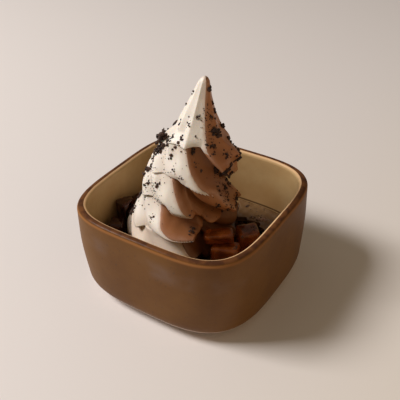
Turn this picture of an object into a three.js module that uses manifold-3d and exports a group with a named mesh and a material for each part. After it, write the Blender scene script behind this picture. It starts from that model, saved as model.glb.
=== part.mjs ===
// A soft serve cup: a square stoneware bowl with rounded sides, a bed of coffee with blocks of
// coffee jelly in it, and a pleated swirl of two soft serve flavours with cookie crumbs on it.
// Millimetres, +Z up, origin at the centre of the foot, the bowl's straight sides along X and Y.

import * as THREE from "three";
import { mergeVertices } from "three/addons/utils/BufferGeometryUtils.js";
import { RoundedBoxGeometry } from "three/addons/geometries/RoundedBoxGeometry.js";
import Module from "manifold-3d";

const wasm = await Module();
wasm.setup();

const DEG = Math.PI / 180;
const GAP = 0.3; // left between pieces that touch
const FLAVOUR_GAP = 0.5;

// ---- bowl ------------------------------------------------------------------------------------
const BOWL = {
  half: 50, // half the width over the walls
  height: 51,
  belly: 0.35, // the walls swell this much at half height
  wall: 4.5,
  floor: 5,
  footHeight: 1.6,
  footHalf: 40.5,
  footStep: 0.6, // the glazed body stands out over the bare foot
  heelRadius: 8.5, // outside, wall to bottom
  coveRadius: 9, // inside, wall to floor
  lipRadius: 2.25,
  squareTop: 4.0, // superellipse exponents: 2 is a circle, more is squarer
  squareFoot: 3.3,
  squareInside: 4.2,
  columns: 56,
};

// ---- coffee and jelly ------------------------------------------------------------------------
const BED_LEVEL = 15;
const SLAB = { bottom: 15.3, top: 19, from: 18, to: 88, width: 15, uneven: 1.6 };
const JELLY_ROUND = 1.6;
const JELLY_SKEW = 0.9; // how far a block's corners are out of square

// Everything in the bowl is laid out on axes turned by this from the bowl's own.
const FACE_TURN = 33.4 * DEG;

// Blocks of jelly: x, y, width, depth, bottom, top, turn in degrees, on the turned axes.
const BLOCKS = {
  jelly_front_low: [14.8, -22.6, 14, 8.6, 15.3, 33, -13],
  jelly_front_high: [11.4, -20.2, 15, 8, 33.4, 40, -3],
  jelly_front_side: [26.6, -12.2, 11.5, 10.5, 15.3, 35, 8],
  jelly_left_front: [-45.0, -7.6, 9, 10, 15.3, 27.5, 12],
  jelly_left_corner: [-41.6, 3.2, 9.5, 9.5, 15.3, 30.5, -8],
  jelly_left_tall: [-37.7, 13.9, 9.2, 9.6, 15.3, 36.5, 24],
  jelly_left_back: [-32.3, 24.2, 9.5, 9, 15.3, 31, 50],
  jelly_back_left: [-23.4, 32.2, 9.5, 8.6, 15.3, 26, 56],
  jelly_back_corner: [-9.4, 42.4, 11.5, 11, 15.3, 23.5, 24],
  jelly_back: [4.2, 37.6, 11, 9.5, 15.3, 24.5, 66],
  jelly_side_back: [14.2, 32.2, 8.5, 8, 15.3, 21.5, 56],
  jelly_near_left: [-34.2, -18.4, 8.5, 9.5, 15.3, 26, 40],
  jelly_near: [-22.6, -30.8, 8.2, 10.5, 15.3, 27, 58],
  jelly_near_corner: [8.6, -41.2, 11, 11, 15.3, 25.5, 30],
  jelly_near_side: [-6.2, -38.6, 10, 9, 15.3, 27, 70],
  jelly_side_front: [27.3, -27.4, 12, 8.6, 15.3, 26.5, -24],
};

// ---- swirl -----------------------------------------------------------------------------------
// The surface is worked out from the angle round the swirl and a fold number that grows
// downwards: each whole number is a lip. A point hangs below its own height by OVERHANG times
// how far it stands out, so that lips overhang the hollows under them.
const SWIRL = {
  top: 112.6,
  bottom: 15.3,
  columns: 63,
  rows: 5, // in each fold
  firstFold: -5,
  lastFold: 4,
  foldHeight: 14.6,
  firstLip: 82.3, // height of the highest lip on its level stretch
  starts: 2, // folds that a lip drops in one turn
  dropFrom: 284, // angles in degrees, on the turned axes
  dropOver: 110,
  pleats: 9,
  vanillaPleats: 4,
  edge: 249, // the pleat that parts the flavours under the first lip
  seamColumns: 37, // from the seam of the skin to that edge
  overhang: 0.4,
};
SWIRL.seam = SWIRL.edge - SWIRL.seamColumns * (360 / SWIRL.columns);
SWIRL.twist = (360 / SWIRL.columns) * (SWIRL.rows / SWIRL.foldHeight); // degrees for each mm
SWIRL.pleatAngle = 360 / SWIRL.pleats;

// The second lip drops sooner and slower than the others, by these degrees.
const EARLY_DROP = { fold: 1.03, folds: 0.75, sooner: 24, slower: 15 };
// The second and third lips hang lower in front. Here and below, what holds on one side of the
// swirl comes in over so many degrees from one angle and fades over so many from another.
const LIP_SAGS = [
  { fold: 1, depth: 2.0, from: 248, over: 14, until: 275, fade: 40 },
  { fold: 2, depth: 3.6, from: 238, over: 14, until: 290, fade: 40 },
];

// Height and radius over the ridges, from the foot to the tip.
const SWIRL_PROFILE = [
  [15.3, 29.5], [22, 33], [30, 33], [36, 31.2], [40, 29.6], [47, 26.3], [55, 24], [65.6, 22.6],
  [72, 19.6], [78, 17.2], [82, 15.5], [88, 11.7], [95, 7.9], [103, 4.8], [107.5, 3.5],
  [110.2, 2.6], [111.6, 1.7], [112.4, 0.8], [112.6, 0],
];
const AXIS_FOOT = -4; // where the swirl's axis stands at its foot and at its tip
const AXIS_TIP = 6.2;
const AXIS_BEND = { from: 40, power: 1.3 };
// On one side the foot is tucked in, where it stands on blocks of jelly.
const TUCK = { share: 0.42, at: 315, spread: 52, below: 38.5, higher: 5, from: 280, over: 3 };
// Two of the folds bulge: share of the radius, angle and spread, height and spread.
const LOBES = [
  { share: 0.12, at: 350, spread: 38, height: 51, over: 8 },
  { share: 0.28, at: 343, spread: 34, height: 75.5, over: 6 },
];
// The peak is narrower on the left, from below a height down to a shoulder.
const WAIST_SIDE = { from: 80, over: 40, until: 230, fade: 18 };
const WAIST = { share: 0.22, below: 97, over: 12, shoulder: 82.6, step: 4 };

// Depths are shares of the radius.
const FULL_RADIUS = 0.99;
const PLEAT_DEPTH = 0.14;
const PEAK_DEPTH = 0.08;
const PEAK_PLEATS = { from: 76, over: 10 }; // the height where the pleats become those of the peak
const RIDGE_ROUND = 0.12;
// At the top of a fold the pleats go on from those of the fold above it, left of its own edge.
const PLEATS_JOIN = { part: 0.7, left: -0.9, across: 0.6 };
// The hollow right of the flavour edge, where the pleats are flatter.
const HOLLOW = { depth: 0.2, deeper: 1.5, rise: 0.32, fall: 1.6, flatter: 0.8, flatFrom: 0.3 };
const HOLLOW_FADE = { share: 0.6, from: 0.6, over: 0.4 };
const FRONT = { from: 240, over: 30, until: 345, fade: 50 };
const RECESS = { depth: 0.19, part: 0.6 }; // under each lip
const MOST_DEPTH = [0.24, 0.31]; // softly, in most folds and in the deeper one
const MOST_SOFT = 0.1;
const SEAM_FADE = 60; // degrees over which the first folds' lips grow
const LIP_LEFT = 0.2; // how strong the lips are left of the flavour edge
const LIP_RIGHT = { far: -3.85, across: 0.3 }; // past the vanilla's other edge they are whole
const LEAF_LIP = { left: -1.6, across: 1.2, from: 215, over: 25 };
const LEAF_UNDER = { depth: 0.08, reach: 7, from: 255, over: 8, until: 300, fade: 25 };
const LIP_ROLL = { depth: 0.07, from: 0.7 };
const LIP_SWELL = { depth: 0.055, at: 0.68, spread: 0.24 };
const DEEP_FOLD = 2;
// Where the ridges of the vanilla lie, in pleats right of the flavour edge, high and low down.
const HIGH_RIDGES = [-4, -20 / 7, -12 / 7, 0];
const LOW_RIDGES = [-4, -18 / 7, -8 / 7, 0];
const VALLEY_AT = 0.22; // across a pleat of the vanilla, from its left

// The flavour edge curls to the right low in a fold: pleats, height where it starts, mm it takes.
const LEAF_CURL = [[0.3, 67.5, 7], [0.06, 54, 5], [0.62, 46, 8]];
// From this fold down the flavours lie further to the right.
const LOW_SHIFT = { fold: 3, pleats: 1 };
const CURL_WIDTH = 0.8; // pleats to each side that the curl still shifts
// How far below the level of the next lip the leaves of vanilla end, from the peak down.
const LEAF_SAG = [2.5, 2.0, 4.4, 1.0, 1.5, 1.5];
const LEAF_SLOPE = { fold: 0, from: 268, rate: 0.14 };

// Groups of crumbs: angle, height, spread in degrees, spread in mm, number.
const CRUMB_GROUPS = [
  [172, 81, 14, 3, 5], [196, 76, 12, 5, 3], [215, 70, 16, 4, 3], [190, 62, 12, 6, 3],
  [185, 45, 12, 8, 3], [215, 55, 14, 8, 1], [258, 96, 26, 7, 2], [300, 92, 14, 9, 2],
  [330, 82, 18, 8, 3], [345, 66, 20, 5, 3], [318, 68, 8, 3, 3], [330, 50, 20, 4, 2],
  [285, 72, 14, 6, 1], [60, 84, 30, 12, 2], [120, 60, 30, 14, 2], [20, 55, 24, 12, 2],
];
const CRUMB_SIZE = [0.9, 1.6];
const CRUMB_SUNK = 0.25; // share of its radius that a crumb's centre stands out

// ---- helpers ---------------------------------------------------------------------------------
const clamp01 = (t) => Math.min(1, Math.max(0, t));
const smooth = (t) => clamp01(t) ** 2 * (3 - 2 * clamp01(t));
const rising = (x, from, over) => smooth((x - from) / over);
const between = (x, { from, over, until, fade }) => rising(x, from, over) * (1 - rising(x, until, fade));
const mix = (a, b, t) => a + (b - a) * t;

function seeded(seed) {
  let state = seed;
  return () => {
    state = (state * 1664525 + 1013904223) % 4294967296;
    return state / 4294967296;
  };
}

function interpolate(table, x) {
  let i = table.length - 2;
  while (i > 0 && table[i][0] > x) i -= 1;
  const [x0, y0] = table[i];
  const [x1, y1] = table[i + 1];
  return mix(y0, y1, clamp01((x - x0) / (x1 - x0)));
}

function turned(x, y, z) {
  const c = Math.cos(FACE_TURN);
  const s = Math.sin(FACE_TURN);
  return new THREE.Vector3(x * c - y * s, x * s + y * c, z);
}

// A closed body from points and triangles, without the triangles that shared points collapse.
function body(points, triangles) {
  const geometry = new THREE.BufferGeometry();
  geometry.setAttribute("position", new THREE.Float32BufferAttribute(points.flatMap((p) => p.toArray()), 3));
  geometry.setIndex(triangles.filter(([a, b, c]) => a !== b && b !== c && c !== a).flat());
  return geometry;
}

// Rings of equal length, closed at both ends by a point in the middle of the end ring.
function ringBody(rings) {
  const n = rings[0].length;
  const points = rings.flat();
  const middle = (ring) => ring.reduce((sum, p) => sum.add(p), new THREE.Vector3()).divideScalar(n);
  const first = points.push(middle(rings[0])) - 1;
  const last = points.push(middle(rings.at(-1))) - 1;
  const top = (rings.length - 1) * n;
  const triangles = [];
  for (let j = 0; j < n; j += 1) {
    const k = (j + 1) % n;
    triangles.push([first, k, j], [last, top + j, top + k]);
    for (let i = 0; i < top; i += n) {
      triangles.push([i + j, i + k, i + n + k], [i + j, i + n + k, i + n + j]);
    }
  }
  return body(points, triangles);
}

function toSolid(geometry) {
  const bare = geometry.clone();
  bare.deleteAttribute("normal");
  bare.deleteAttribute("uv");
  const merged = mergeVertices(bare, 1e-4);
  const index = Array.from(merged.index.array);
  const kept = [];
  for (let i = 0; i < index.length; i += 3) {
    const [a, b, c] = index.slice(i, i + 3);
    if (a !== b && b !== c && c !== a) kept.push(a, b, c);
  }
  const vertProperties = new Float32Array(merged.attributes.position.array);
  return new wasm.Manifold(new wasm.Mesh({ numProp: 3, vertProperties, triVerts: new Uint32Array(kept) }));
}

function toGeometry(solid) {
  const mesh = solid.getMesh();
  const geometry = new THREE.BufferGeometry();
  geometry.setAttribute("position", new THREE.Float32BufferAttribute(mesh.vertProperties, 3));
  geometry.setIndex(Array.from(mesh.triVerts));
  return geometry;
}

const group = new THREE.Group();

function addPiece(name, geometry, color, roughness) {
  geometry.computeVertexNormals();
  const material = new THREE.MeshStandardMaterial({ color, roughness, metalness: 0, flatShading: true });
  const mesh = new THREE.Mesh(geometry, material);
  mesh.name = name;
  group.add(mesh);
}

// ---- the bowl's shape ------------------------------------------------------------------------
function squareRing(half, z, exponent, columns = BOWL.columns) {
  return Array.from({ length: columns }, (_, j) => {
    const angle = (j / columns) * 2 * Math.PI;
    const c = Math.cos(angle);
    const s = Math.sin(angle);
    const r = half * (Math.abs(c) ** exponent + Math.abs(s) ** exponent) ** (-1 / exponent);
    return new THREE.Vector3(r * c, r * s, z);
  });
}

const insideHalf = BOWL.half - BOWL.wall;

function bowlRings() {
  const { half, height, belly, wall, floor, footHeight, footHalf, footStep } = BOWL;
  const { heelRadius, coveRadius, lipRadius, squareTop, squareFoot, squareInside } = BOWL;
  const outer = (z) => half + belly * Math.sin((Math.PI * z) / height);
  const square = (z) => mix(squareFoot, squareTop, smooth(z / (0.7 * height)));
  const rings = [
    squareRing(footHalf, 0, squareFoot),
    squareRing(footHalf, footHeight, squareFoot),
    squareRing(footHalf + footStep, footHeight, squareFoot),
  ];
  for (const angle of [25, 55, 90]) {
    const out = heelRadius * (1 - Math.sin(angle * DEG));
    const z = footHeight + heelRadius * (1 - Math.cos(angle * DEG));
    rings.push(squareRing(outer(z) - out, z, square(z)));
  }
  const middle = 0.6 * height;
  rings.push(squareRing(outer(middle), middle, square(middle)));
  for (const angle of [0, 45, 90, 135, 180]) {
    const z = height - lipRadius + lipRadius * Math.sin(angle * DEG);
    const exponent = mix(squareTop, squareInside, angle / 180);
    rings.push(squareRing(half - (wall / 2) * (1 - Math.cos(angle * DEG)), z, exponent));
  }
  for (const angle of [0, 30, 60, 90]) {
    const inset = coveRadius * (1 - Math.cos(angle * DEG));
    const z = floor + coveRadius * (1 - Math.sin(angle * DEG));
    rings.push(squareRing(insideHalf - inset, z, squareInside));
  }
  return rings;
}

function bedRings() {
  const rings = [];
  for (const angle of [90, 50]) {
    const inset = BOWL.coveRadius * (1 - Math.cos(angle * DEG));
    const z = BOWL.floor + GAP + BOWL.coveRadius * (1 - Math.sin(angle * DEG));
    rings.push(squareRing(insideHalf - inset - GAP, z, BOWL.squareInside));
  }
  rings.push(squareRing(insideHalf - GAP, BED_LEVEL, BOWL.squareInside));
  return rings;
}

// A plate of jelly in one corner, with its outer side along the wall and an uneven inner side.
function slabGeometry() {
  const { bottom, top, from, to, width, uneven } = SLAB;
  const steps = 16;
  const outer = [];
  const inner = [];
  for (let i = 0; i <= steps; i += 1) {
    const angle = mix(from, to, i / steps) * DEG;
    const c = Math.cos(angle);
    const s = Math.sin(angle);
    const power = BOWL.squareInside;
    const reach = (Math.abs(c) ** power + Math.abs(s) ** power) ** (-1 / power);
    const r = (insideHalf - GAP) * reach;
    const back = width * smooth(i / 3) * smooth((steps - i) / 3) + 1.5 + uneven * Math.sin(i * 2.1);
    outer.push(new THREE.Vector2(r * c, r * s));
    inner.push(new THREE.Vector2((r - back) * c, (r - back) * s));
  }
  const shape = new THREE.Shape([...outer, ...inner.reverse()]);
  const geometry = new THREE.ExtrudeGeometry(shape, { depth: top - bottom, bevelEnabled: false });
  return geometry.translate(0, 0, bottom);
}

function blockGeometry([x, y, width, depth, bottom, top, turn], random) {
  const height = top - bottom;
  const geometry = new RoundedBoxGeometry(width, depth, height, 1, JELLY_ROUND);
  const lean = Array.from({ length: 6 }, () => (random() - 0.5) * 2 * JELLY_SKEW);
  const at = geometry.attributes.position;
  for (let i = 0; i < at.count; i += 1) {
    const u = at.getX(i) / width;
    const v = at.getY(i) / depth;
    const w = at.getZ(i) / height;
    const rise = w > 0 ? w * 2 : 0;
    at.setXYZ(
      i,
      at.getX(i) + lean[0] * w + lean[1] * v,
      at.getY(i) + lean[2] * w + lean[3] * u,
      at.getZ(i) + (lean[4] * u + lean[5] * v - 0.5 * JELLY_SKEW) * rise,
    );
  }
  const place = turned(x, y, (bottom + top) / 2);
  return geometry.rotateZ(turn * DEG + FACE_TURN).translate(place.x, place.y, place.z);
}

// ---- the swirl's shape -----------------------------------------------------------------------
function lipDrop(angle, fold) {
  const { fold: middle, folds, sooner, slower } = EARLY_DROP;
  const near = Math.exp(-(((fold - middle) / folds) ** 2));
  const over = SWIRL.dropOver + slower * near;
  return Math.sin((Math.PI / 2) * clamp01((angle + sooner * near - SWIRL.dropFrom) / over)) ** 1.05;
}

function heightAt(angle, fold) {
  let height = SWIRL.firstLip - SWIRL.foldHeight * (fold + SWIRL.starts * lipDrop(angle, fold));
  for (const sag of LIP_SAGS) {
    height -= sag.depth * clamp01(1 - Math.abs(fold - sag.fold)) * between(angle, sag);
  }
  return height;
}

// The height where the leaf of vanilla in a fold ends.
function leafEnd(angle, fold) {
  const slope = fold === LEAF_SLOPE.fold ? LEAF_SLOPE.rate * Math.max(angle - LEAF_SLOPE.from, 0) : 0;
  return SWIRL.firstLip - SWIRL.foldHeight * (fold + 1) - LEAF_SAG[fold + 1] - slope;
}

// How far one angle is from another, in shares of a spread.
const besides = (angle, at, spread) => (((angle - at + 540) % 360) - 180) / spread;

function profileRadius(height, angle) {
  const below = TUCK.below + TUCK.higher * smooth((angle - TUCK.from) / 15);
  const tuckHere = Math.exp(-(besides(angle, TUCK.at, TUCK.spread) ** 2));
  let share = 1 - TUCK.share * tuckHere * smooth((below - height) / TUCK.over);
  for (const lobe of LOBES) {
    const across = besides(angle, lobe.at, lobe.spread) ** 2;
    share += lobe.share * Math.exp(-across - ((height - lobe.height) / lobe.over) ** 2);
  }
  return interpolate(SWIRL_PROFILE, height) * share;
}

function axisAt(height) {
  const rise = clamp01((height - AXIS_BEND.from) / (SWIRL.top - AXIS_BEND.from));
  return mix(AXIS_FOOT, AXIS_TIP, rise ** AXIS_BEND.power);
}

// Pleats to the right of the flavour edge, at an angle and a height in a fold.
function pastEdge(angle, height, fold) {
  const below = Math.max(SWIRL.firstLip - height, 0);
  const shift = fold >= LOW_SHIFT.fold ? LOW_SHIFT.pleats : 0;
  const past = (angle - SWIRL.edge - SWIRL.twist * below) / SWIRL.pleatAngle + fold - shift;
  const [pleats, start, over] = LEAF_CURL[fold] ?? [0, 0, 1];
  const curl = pleats * clamp01((start - height) / over) ** 2;
  return past - curl * Math.exp(-(((past - curl) / CURL_WIDTH) ** 2));
}

// Depth of a pleat's valley, from 0 on the ridges to 1. The vanilla's valleys lie left of middle.
function valley(past, fold) {
  const vanilla = fold >= 0 && past > -SWIRL.vanillaPleats && past < 0;
  let pleat = past;
  if (vanilla) {
    const ridges = fold < DEEP_FOLD ? HIGH_RIDGES : LOW_RIDGES;
    pleat = interpolate(ridges.map((at, i) => [at, i]), past);
  }
  pleat -= Math.floor(pleat);
  let arch = 4 * pleat * (1 - pleat);
  if (vanilla && pleat < VALLEY_AT) arch = Math.sin(((Math.PI / 2) * pleat) / VALLEY_AT);
  else if (vanilla) arch = ((1 - pleat) / (1 - VALLEY_AT)) ** 1.1;
  return (Math.hypot(arch, RIDGE_ROUND) - RIDGE_ROUND) / (Math.hypot(1, RIDGE_ROUND) - RIDGE_ROUND);
}

// The share of the profile's radius that is left at a point. `fold` is the whole fold number,
// -1 for the peak, and `part` is how far down it the point is.
function relief(angle, height, fold, part) {
  const past = pastEdge(angle, height, fold);
  const open = rising(angle, SWIRL.seam, SEAM_FADE);
  const front = between(angle, FRONT);
  const rightSide = Math.max(smooth(past + 1), smooth((LIP_RIGHT.far - past) / LIP_RIGHT.across));
  const strength = mix(LIP_LEFT, 1, rightSide);
  const ownRight = rising(past, PLEATS_JOIN.left, PLEATS_JOIN.across);
  const own = fold < 0 ? 1 : Math.max(smooth(part / PLEATS_JOIN.part), ownRight);
  const pleats = mix(valley(past - 1, fold - 1), valley(past, fold), own);
  let depth = mix(PLEAT_DEPTH, PEAK_DEPTH, rising(height, PEAK_PLEATS.from, PEAK_PLEATS.over)) * pleats;
  if (fold >= 0) {
    depth *= 1 - HOLLOW.flatter * smooth(past / HOLLOW.flatFrom) * front;
    const rise = Math.sin((Math.PI / 2) * clamp01(past / HOLLOW.rise)) ** 0.8;
    const fall = Math.cos((Math.PI / 2) * clamp01((past - HOLLOW.rise) / HOLLOW.fall)) ** 1.5;
    const fade = 1 - HOLLOW_FADE.share * rising(part, HOLLOW_FADE.from, HOLLOW_FADE.over);
    const hollow = HOLLOW.depth * (fold === DEEP_FOLD ? HOLLOW.deeper : 1);
    depth += hollow * fade * (past < HOLLOW.rise ? rise : fall) * front;
    const recess = RECESS.depth * (1 - smooth(part / RECESS.part));
    depth += recess * strength * (fold < SWIRL.starts ? open : 1);
    const sag = leafEnd(angle, fold) - height;
    const under = (1 - smooth(sag / LEAF_UNDER.reach)) * between(angle, LEAF_UNDER);
    if (sag > 0) depth += LEAF_UNDER.depth * under;
  }
  const most = MOST_DEPTH[fold === DEEP_FOLD ? 1 : 0];
  if (depth > most) depth = most + MOST_SOFT * Math.tanh((depth - most) / MOST_SOFT);
  if (fold < 0) {
    const side = between(angle, WAIST_SIDE) * rising(height, WAIST.shoulder, WAIST.step);
    depth += WAIST.share * side * smooth((WAIST.below - height) / WAIST.over);
  }
  const leafSide = rising(past, LEAF_LIP.left, LEAF_LIP.across);
  const leaf = mix(LIP_LEFT, 1, leafSide * rising(angle, LEAF_LIP.from, LEAF_LIP.over));
  const lip = Math.max(strength, leaf) * (fold < SWIRL.starts - 1 ? open : 1);
  const roll = LIP_ROLL.depth * clamp01((part - LIP_ROLL.from) / (1 - LIP_ROLL.from)) ** 1.6 * lip;
  const swell = LIP_SWELL.depth * Math.exp(-(((part - LIP_SWELL.at) / LIP_SWELL.spread) ** 2)) * lip;
  return FULL_RADIUS - depth - roll + swell;
}

function swirlPoint(angle, height, radius, overhang = SWIRL.overhang) {
  const z = height + overhang * (profileRadius(height, angle) - radius);
  return turned(axisAt(height) + radius * Math.cos(angle * DEG), radius * Math.sin(angle * DEG), z);
}

function surfacePoint(angle, fold, part) {
  const height = Math.min(SWIRL.top, Math.max(SWIRL.bottom, heightAt(angle, fold + part)));
  const whole = Math.max(fold, -1);
  const share = relief(angle, height, whole, fold + part - whole);
  const overhang = SWIRL.overhang * smooth((height - SWIRL.bottom) / 6);
  return swirlPoint(angle, height, profileRadius(height, angle) * share, overhang);
}

// The skin is a grid of columns at even angles and rows that follow the lips. Over the seam each
// row meets the one a whole turn lower.
function swirlGeometry() {
  const { columns, rows, firstFold, lastFold, starts, seam, top, bottom } = SWIRL;
  const levels = [];
  for (let fold = firstFold; fold <= lastFold; fold += 1) {
    for (let i = 0; i <= rows; i += 1) levels.push([fold, i / rows]);
  }
  const points = [turned(AXIS_TIP, 0, top), turned(AXIS_FOOT, 0, bottom)];
  const [tip, foot] = [0, 1];
  const ids = new Map();
  const idOf = (column, level) => {
    if (column === columns) return idOf(0, level + starts * (rows + 1));
    const [fold, part] = levels[Math.min(level, levels.length - 1)];
    const angle = seam + (column / columns) * 360;
    const height = heightAt(angle, fold + part);
    if (height > top - 0.2) return tip;
    if (fold < -1 && part === 1) return idOf(column, level + 1);
    const key = height < bottom + 0.2 ? `${column} foot` : `${column} ${level}`;
    if (!ids.has(key)) ids.set(key, points.push(surfacePoint(angle, fold, part)) - 1);
    return ids.get(key);
  };
  const triangles = [];
  for (let column = 0; column < columns; column += 1) {
    for (let level = 0; level + 1 < levels.length; level += 1) {
      const a = idOf(column, level);
      const b = idOf(column, level + 1);
      const c = idOf(column + 1, level + 1);
      const d = idOf(column + 1, level);
      triangles.push([a, b, c], [a, c, d]);
    }
    triangles.push([idOf(column, levels.length - 1), foot, idOf(column + 1, levels.length - 1)]);
  }
  return body(points, triangles);
}

// The room that the first flavour takes in one fold, as a wedge that reaches past the skin. It
// spans four pleats up to the flavour edge, from one lip to the next. `spare` widens it to the
// sides and adds a row above and below.
const WEDGE = { reach: 60, middle: 0.5, columns: 8, rows: 5, shift: 0.6, overlap: 0.15 };

function wedge(fold, spare) {
  const { reach, middle, columns, rows, shift, overlap } = WEDGE;
  const peak = fold < 0;
  const upper = (angle, extra) => (
    peak ? SWIRL.top + 6 + extra : heightAt(angle, fold - (overlap + extra) / SWIRL.foldHeight)
  );
  const lower = (angle, extra) => Math.max(
    heightAt(angle, fold + 1 + (overlap + extra) / SWIRL.foldHeight),
    leafEnd(angle, fold) - extra * (peak ? 2.5 : 1),
  );
  const heightIn = (angle, row) => {
    if (row < 0) return upper(angle, spare);
    if (row > rows) return lower(angle, spare);
    return mix(upper(angle, 0), lower(angle, 0), row / rows);
  };
  const edgeAngle = (pleat, row) => {
    let low = SWIRL.edge + (pleat - 2) * SWIRL.pleatAngle;
    let high = low + 6 * SWIRL.pleatAngle;
    for (let i = 0; i < 40; i += 1) {
      const half = (low + high) / 2;
      if (pastEdge(half, heightIn(half, row), fold) < pleat) low = half;
      else high = half;
    }
    return low;
  };
  const points = [];
  const outer = [];
  const inner = [];
  const spine = [];
  const margin = spare > 0 ? 1 : 0;
  for (let row = -margin; row <= rows + margin; row += 1) {
    const ownRow = Math.min(Math.max(row, 0), rows);
    const from = edgeAngle(-SWIRL.vanillaPleats, ownRow);
    const to = edgeAngle(0, ownRow);
    const outerRow = [];
    const innerRow = [];
    for (let j = 0; j <= columns; j += 1) {
      const angle = mix(from, to, j / columns);
      const height = heightIn(angle, row);
      const mid = Math.max(1, middle * profileRadius(height, angle));
      const side = j === 0 ? -spare : j === columns ? spare : 0;
      outerRow.push(points.push(swirlPoint(angle + side / (mid * DEG), height, reach)) - 1);
      innerRow.push(points.push(swirlPoint(angle + side / (mid * DEG), height, mid)) - 1);
    }
    outer.push(outerRow);
    inner.push(innerRow);
    const middleAngle = ((from + to) / 2) * DEG;
    const back = -margin * shift;
    const at = swirlPoint(0, heightIn(SWIRL.edge - 90, row), 0);
    at.add(turned(back * Math.cos(middleAngle), back * Math.sin(middleAngle), 0));
    spine.push(points.push(at) - 1);
  }
  const last = spine.length - 1;
  const triangles = [];
  const quad = (a, b, c, d) => triangles.push([a, b, c], [a, c, d]);
  for (let i = 0; i < last; i += 1) {
    for (let j = 0; j < columns; j += 1) {
      quad(outer[i][j], outer[i + 1][j], outer[i + 1][j + 1], outer[i][j + 1]);
    }
    quad(outer[i][0], inner[i][0], inner[i + 1][0], outer[i + 1][0]);
    quad(inner[i][0], spine[i], spine[i + 1], inner[i + 1][0]);
    quad(outer[i][columns], outer[i + 1][columns], inner[i + 1][columns], inner[i][columns]);
    quad(inner[i][columns], inner[i + 1][columns], spine[i + 1], spine[i]);
  }
  for (let j = 0; j < columns; j += 1) {
    quad(outer[0][j], outer[0][j + 1], inner[0][j + 1], inner[0][j]);
    triangles.push([inner[0][j], inner[0][j + 1], spine[0]]);
    quad(outer[last][j], inner[last][j], inner[last][j + 1], outer[last][j + 1]);
    triangles.push([inner[last][j], spine[last], inner[last][j + 1]]);
  }
  return toSolid(body(points, triangles));
}

function wedges(spare) {
  let all = wedge(-1, spare);
  for (let fold = 0; fold <= SWIRL.lastFold; fold += 1) all = all.add(wedge(fold, spare));
  return all;
}

// The swirl's outline without its relief, a little larger, which the blocks of jelly are cut by.
function clearance() {
  const columns = 36;
  const heights = [SWIRL.bottom - 2 * GAP, 18, 22, 30, 36, 40, 41.5, 43, 50, 60];
  const rings = heights.map((z) => Array.from({ length: columns }, (_, j) => {
    const angle = (j / columns) * 360;
    const height = Math.max(z, SWIRL.bottom);
    const r = 1.04 * profileRadius(height, angle) + 2 * GAP;
    return turned(axisAt(height) + r * Math.cos(angle * DEG), r * Math.sin(angle * DEG), z);
  }));
  return toSolid(ringBody(rings));
}

// ---- crumbs ----------------------------------------------------------------------------------
function foldAt(angle, height) {
  let above = SWIRL.firstFold;
  let below = SWIRL.lastFold + 1;
  for (let i = 0; i < 30; i += 1) {
    const half = (above + below) / 2;
    if (heightAt(angle, half) > height) above = half;
    else below = half;
  }
  return above;
}

function crumbGeometry(centre, size, random) {
  const geometry = new THREE.IcosahedronGeometry(size, 0);
  geometry.scale(1, mix(0.6, 0.95, random()), mix(0.55, 0.9, random()));
  geometry.rotateX(random() * 6).rotateZ(random() * 6);
  return geometry.translate(centre.x, centre.y, centre.z);
}

function crumbs() {
  const random = seeded(46);
  const made = [];
  for (const [angle, height, spreadAngle, spreadHeight, count] of CRUMB_GROUPS) {
    for (let i = 0; i < count; i += 1) {
      const around = angle + spreadAngle * (random() + random() - 1);
      const away = around < SWIRL.seam ? around + 360 : around;
      const at = height + spreadHeight * (random() + random() - 1);
      const fold = foldAt(away, at);
      const size = mix(CRUMB_SIZE[0], CRUMB_SIZE[1], random() ** 1.5);
      const centre = surfacePoint(away, Math.floor(fold), fold - Math.floor(fold));
      const out = turned(Math.cos(away * DEG), Math.sin(away * DEG), 0.4).normalize();
      centre.addScaledVector(out, CRUMB_SUNK * size);
      made.push(toSolid(crumbGeometry(centre, size, random)));
    }
  }
  return made;
}

// Each crumb is joined to the flavour that it lies on, and left out if it would touch the other.
function withCrumbs(flavour, other, pieces) {
  const margin = 1.6;
  let joined = flavour;
  for (const crumb of pieces) {
    const box = crumb.boundingBox();
    const middle = [0, 1, 2].map((i) => (box.min[i] + box.max[i]) / 2);
    const grown = crumb.translate(middle.map((v) => -v)).scale(margin).translate(middle);
    const lies = crumb.intersect(flavour).volume() > 0.15 * crumb.volume();
    if (lies && other.intersect(grown).isEmpty()) joined = joined.add(crumb);
  }
  return joined;
}

// ---- the pieces ------------------------------------------------------------------------------
addPiece("bowl", toGeometry(toSolid(ringBody(bowlRings()))), 0x6b4630, 0.45);
addPiece("coffee_bed", toGeometry(toSolid(ringBody(bedRings()))), 0x2a1208, 0.15);
addPiece("jelly_slab", toGeometry(toSolid(slabGeometry())), 0x4a2a17, 0.15);

const skin = toSolid(swirlGeometry());
const vanilla = skin.intersect(wedges(0));
const chocolate = skin.subtract(wedges(FLAVOUR_GAP));
const room = clearance();
const random = seeded(7);
const blocks = Object.entries(BLOCKS).map(([name, sizes]) => {
  const block = toSolid(blockGeometry(sizes, random)).subtract(room);
  addPiece(name, toGeometry(block), 0x24100a, 0.12);
  return block;
});
const clearOfBlocks = crumbs().filter((crumb) => blocks.every((block) => block.intersect(crumb).isEmpty()));
const vanillaWith = withCrumbs(vanilla, chocolate, clearOfBlocks);
const chocolateWith = withCrumbs(chocolate, vanilla, clearOfBlocks);
addPiece("soft_serve_vanilla", toGeometry(vanillaWith), 0xe6dacb, 0.5);
addPiece("soft_serve_chocolate", toGeometry(chocolateWith), 0x7a5240, 0.5);

group.name = "soft_serve_cup";
export default group;
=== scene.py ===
"""A square stoneware bowl of coffee jelly under a two-flavour soft serve swirl with cookie crumbs.

The CAD model is the frame. The swirl, the crumbs, the bowl and the jelly are modelled again here
in full detail, from the same named sizes, in millimetres, and stand for their CAD nodes.
"""

import math

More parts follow.
